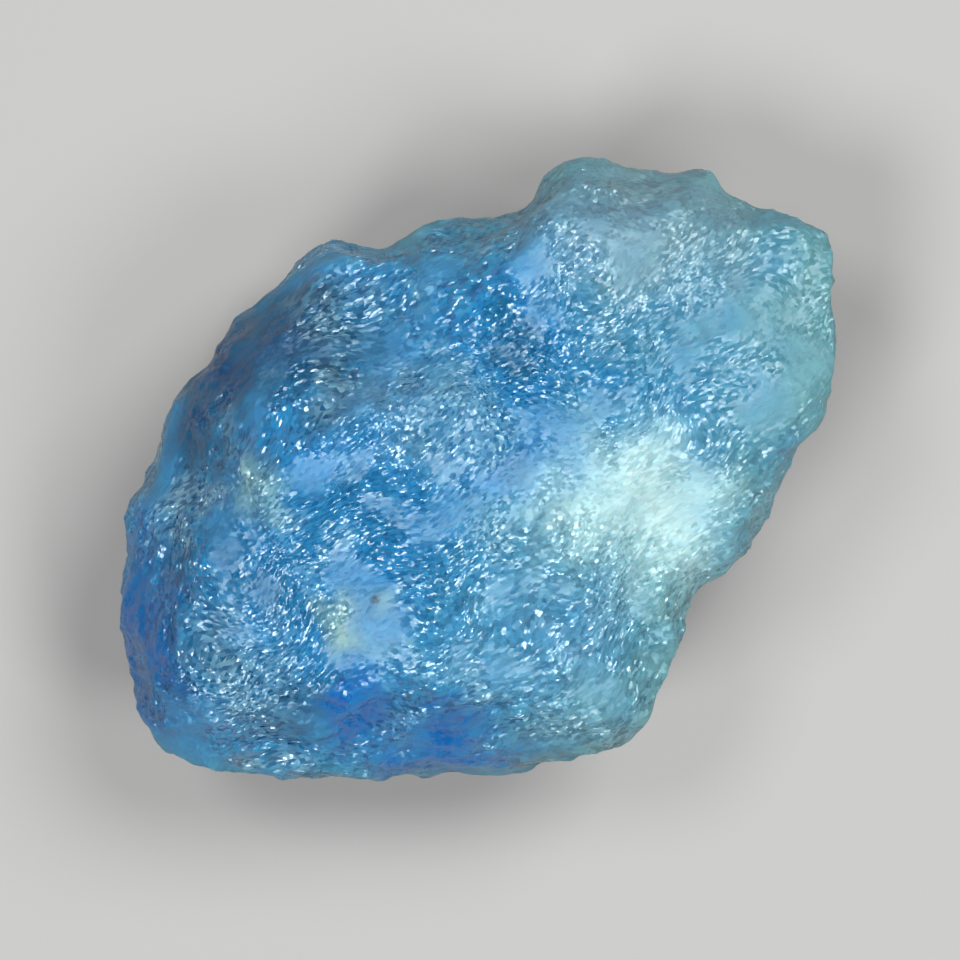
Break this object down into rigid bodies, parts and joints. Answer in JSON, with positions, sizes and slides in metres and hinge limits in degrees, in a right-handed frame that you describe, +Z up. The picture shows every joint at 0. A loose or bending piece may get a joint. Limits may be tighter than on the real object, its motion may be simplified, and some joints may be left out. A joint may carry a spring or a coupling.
{
  "type": "aquamarine crystal",
  "caption": "Rough translucent blue aquamarine crystal: a broken, frosted and etched lump of beryl, thick on one side and thin on the other, lying on a flat break.",
  "frame": {"origin": "middle of the stone's box, on the surface that it lies on", "axes": "+Z up from the flat break; +X along the stone's long direction, towards the thin pale end"},
  "size_m": [0.0404, 0.0274, 0.0182],
  "materials": {
    "aquamarine": "see-through blue beryl with a frosted, etched and glittering skin, deep blue where thick and pale grey-green where thin"
  },
  "bodies": {
    "root": {"aquamarine_crystal": "aquamarine"}
  },
  "joints": []
}
